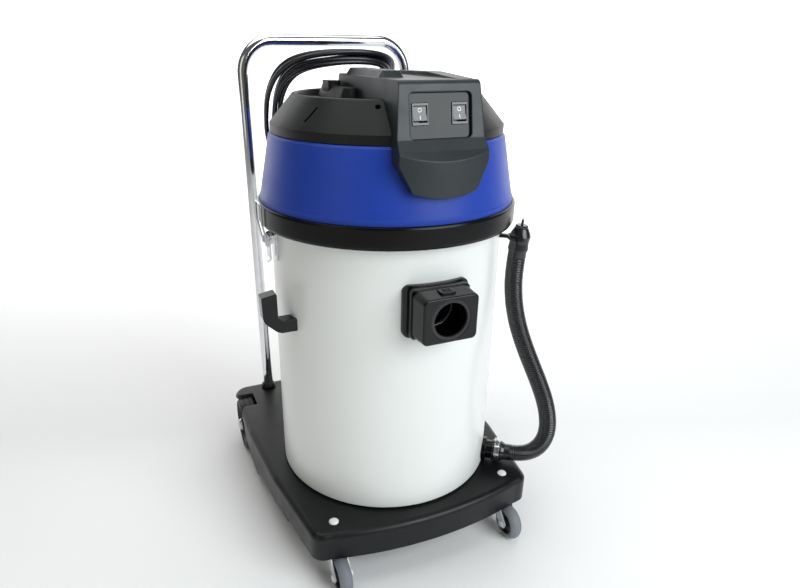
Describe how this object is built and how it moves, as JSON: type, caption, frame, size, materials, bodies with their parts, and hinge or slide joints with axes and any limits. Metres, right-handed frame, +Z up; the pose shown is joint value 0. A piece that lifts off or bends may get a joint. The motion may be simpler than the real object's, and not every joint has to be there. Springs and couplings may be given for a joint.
{
  "type": "wet and dry drum vacuum cleaner",
  "caption": "Commercial wet and dry drum vacuum on a wheeled trolley with push handle, drain hose, inlet port and lift-off motor head.",
  "frame": {"origin": "on the floor, under the middle of the machine's footprint without its hose and cords", "axes": "+Z up, -Y towards the front with the inlet and switches, +X towards the drain hose's side"},
  "size_m": [0.5628, 0.627, 0.953],
  "materials": {
    "deck_plastic": "satin moulded polyethylene",
    "chrome_tube": "polished chrome plate",
    "zinc_steel": "zinc plated",
    "bolt_paint": "white painted dome nuts",
    "fork_paint": "bright zinc and pale paint",
    "caster_rubber": "grey-blue tread",
    "tyre_rubber": "black rubber tread",
    "hub_plastic": "moulded",
    "tank_plastic": "semi-gloss rotational moulding",
    "black_plastic": "satin to gloss moulding",
    "button_plastic": "satin",
    "soft_rubber": "soft black rubber",
    "hose_plastic": "glossy corrugated hose",
    "shroud_plastic": "satin blue moulding",
    "cover_plastic": "satin dark grey-green",
    "console_plastic": "matte slate grey",
    "switch_plastic": null,
    "motor_steel": "pressed steel",
    "rotor_alloy": "cast alloy fan and wound armature as one",
    "filter_cloth": "needle felt",
    "float_plastic": "moulded",
    "cord_rubber": "black cable jacket",
    "pin_brass": "bright"
  },
  "bodies": {
    "trolley": {"base_platform": "deck_plastic", "handle_tube": "chrome_tube", "handle_collars": "deck_plastic", "rear_axle": "zinc_steel", "axle_caps": "zinc_steel", "caster_bolts": "bolt_paint", "tank_drum": "tank_plastic", "inlet_housing": "black_plastic", "inlet_seal": "soft_rubber", "inlet_deflector": "black_plastic", "side_grips": "black_plastic", "latch_plates": "zinc_steel", "latch_pins": "zinc_steel", "drain_spigot": "black_plastic", "drain_cuff": "hose_plastic", "drain_clamp": "zinc_steel", "clamp_screw": "zinc_steel", "drain_hose": "hose_plastic", "hose_cuff": "hose_plastic", "hose_clip": "black_plastic"},
    "head": {"head_ring": "black_plastic", "head_gasket": "soft_rubber", "motor_shroud": "shroud_plastic", "top_cover": "cover_plastic", "switch_console": "console_plastic", "switch_frames": "switch_plastic", "motor_can_left": "motor_steel", "motor_can_right": "motor_steel", "float_cage": "float_plastic", "filter_sleeve": "filter_cloth", "filter_cap": "float_plastic", "cord_gland": "soft_rubber", "cord_coil": "cord_rubber", "power_cord_lead": "cord_rubber", "power_cord_tail": "cord_rubber", "mains_plug": "cord_rubber", "plug_pins": "pin_brass"},
    "rear_wheel_left": {"rear_tyre_left": "tyre_rubber", "rear_hub_left": "hub_plastic"},
    "caster_left": {"caster_fork_left": "fork_paint", "caster_pin_left": "fork_paint"},
    "caster_wheel_left": {"caster_tyre_left": "caster_rubber", "caster_hub_left": "hub_plastic"},
    "latch_left": {"latch_lever_left": "zinc_steel"},
    "bail_left": {"latch_bail_left": "zinc_steel"},
    "switch_left": {"rocker_left": "switch_plastic"},
    "rotor_left": {"motor_rotor_left": "rotor_alloy"},
    "rear_wheel_right": {"rear_tyre_right": "tyre_rubber", "rear_hub_right": "hub_plastic"},
    "caster_right": {"caster_fork_right": "fork_paint", "caster_pin_right": "fork_paint"},
    "caster_wheel_right": {"caster_tyre_right": "caster_rubber", "caster_hub_right": "hub_plastic"},
    "latch_right": {"latch_lever_right": "zinc_steel"},
    "bail_right": {"latch_bail_right": "zinc_steel"},
    "switch_right": {"rocker_right": "switch_plastic"},
    "rotor_right": {"motor_rotor_right": "rotor_alloy"},
    "float": {"float_ball": "float_plastic"},
    "hose_release": {"inlet_button": "button_plastic"},
    "hose_plug": {"drain_plug": "hose_plastic"}
  },
  "joints": [
    {"name": "head_lift", "type": "slide", "parent": "trolley", "child": "head", "axis": [0, 0, 1], "range_m": [0, 0.26]},
    {"name": "rear_wheel_left_roll", "type": "hinge", "parent": "trolley", "child": "rear_wheel_left", "pos_m": [-0.251, 0.242, 0.0625], "axis": [1, 0, 0], "continuous": true},
    {"name": "caster_left_swivel", "type": "hinge", "parent": "trolley", "child": "caster_left", "pos_m": [-0.182, -0.236, 0.085], "axis": [0, 0, 1], "continuous": true},
    {"name": "caster_left_roll", "type": "hinge", "parent": "caster_left", "child": "caster_wheel_left", "pos_m": [-0.182, -0.276, 0.035], "axis": [1, 0, 0], "continuous": true},
    {"name": "latch_left_lever", "type": "hinge", "parent": "trolley", "child": "latch_left", "pos_m": [-0.2215, -0.041, 0.622], "axis": [0, 1, 0], "range_deg": [0, 90]},
    {"name": "latch_left_bail", "type": "hinge", "parent": "latch_left", "child": "bail_left", "pos_m": [-0.23, -0.041, 0.614], "axis": [0, 1, 0], "range_deg": [-117, 0]},
    {"name": "switch_left_rock", "type": "hinge", "parent": "head", "child": "switch_left", "pos_m": [-0.0325, -0.2365, 0.84006], "axis": [1, 0, 0], "range_deg": [0, 16]},
    {"name": "motor_left_spin", "type": "hinge", "parent": "head", "child": "rotor_left", "pos_m": [-0.078, -0.041, 0.74], "axis": [0, 0, 1], "continuous": true},
    {"name": "rear_wheel_right_roll", "type": "hinge", "parent": "trolley", "child": "rear_wheel_right", "pos_m": [0.251, 0.242, 0.0625], "axis": [1, 0, 0], "continuous": true},
    {"name": "caster_right_swivel", "type": "hinge", "parent": "trolley", "child": "caster_right", "pos_m": [0.182, -0.236, 0.085], "axis": [0, 0, 1], "continuous": true},
    {"name": "caster_right_roll", "type": "hinge", "parent": "caster_right", "child": "caster_wheel_right", "pos_m": [0.182, -0.276, 0.035], "axis": [1, 0, 0], "continuous": true},
    {"name": "latch_right_lever", "type": "hinge", "parent": "trolley", "child": "latch_right", "pos_m": [0.2215, -0.041, 0.622], "axis": [0, -1, 0], "range_deg": [0, 90]},
    {"name": "latch_right_bail", "type": "hinge", "parent": "latch_right", "child": "bail_right", "pos_m": [0.23, -0.041, 0.614], "axis": [0, -1, 0], "range_deg": [-117, 0]},
    {"name": "switch_right_rock", "type": "hinge", "parent": "head", "child": "switch_right", "pos_m": [0.0325, -0.2365, 0.84006], "axis": [1, 0, 0], "range_deg": [0, 16]},
    {"name": "motor_right_spin", "type": "hinge", "parent": "head", "child": "rotor_right", "pos_m": [0.078, -0.041, 0.74], "axis": [0, 0, 1], "continuous": true},
    {"name": "float_rise", "type": "slide", "parent": "head", "child": "float", "axis": [0, 0, 1], "range_m": [0, 0.055]},
    {"name": "inlet_button_press", "type": "slide", "parent": "trolley", "child": "hose_release", "axis": [0, 0, -1], "range_m": [0, 0.0028], "stiffness_N_per_m": 400, "springref_m": -0.002},
    {"name": "drain_plug_pull", "type": "slide", "parent": "trolley", "child": "hose_plug", "axis": [0.0589, -0.046, 0.9972], "range_m": [0, 0.02]}
  ],
  "couplings": [
    {"joint": "latch_left_bail", "follows": "latch_left_lever", "ratio": -1.3},
    {"joint": "latch_right_bail", "follows": "latch_right_lever", "ratio": -1.3}
  ]
}
